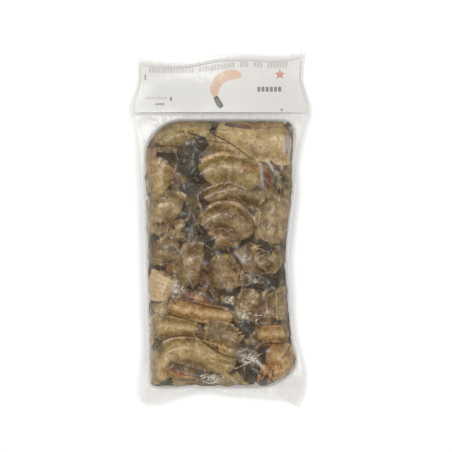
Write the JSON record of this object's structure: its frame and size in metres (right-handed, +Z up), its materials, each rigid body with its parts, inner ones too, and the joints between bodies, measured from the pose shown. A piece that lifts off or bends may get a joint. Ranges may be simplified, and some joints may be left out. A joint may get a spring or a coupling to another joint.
{
  "type": "sealed pouch of frozen raw tiger prawns",
  "caption": "Clear plastic pouch, flat and sealed, with a frozen block of raw headless tiger prawns and a stiff white header card, lying on its back.",
  "frame": {"origin": "middle of the outline, on the surface that the pouch lies on", "axes": "+Z up out of the shown face, +Y along the pouch towards its header, +X across it to the right"},
  "size_m": [0.1241, 0.2479, 0.0279],
  "materials": {
    "film": "clear heat-sealed film, tight and finely creased over a frozen block of tan and olive prawns",
    "card": "coated white card with a few plain printed shapes"
  },
  "bodies": {
    "root": {"pouch": "film", "header_card": "card"}
  },
  "joints": []
}
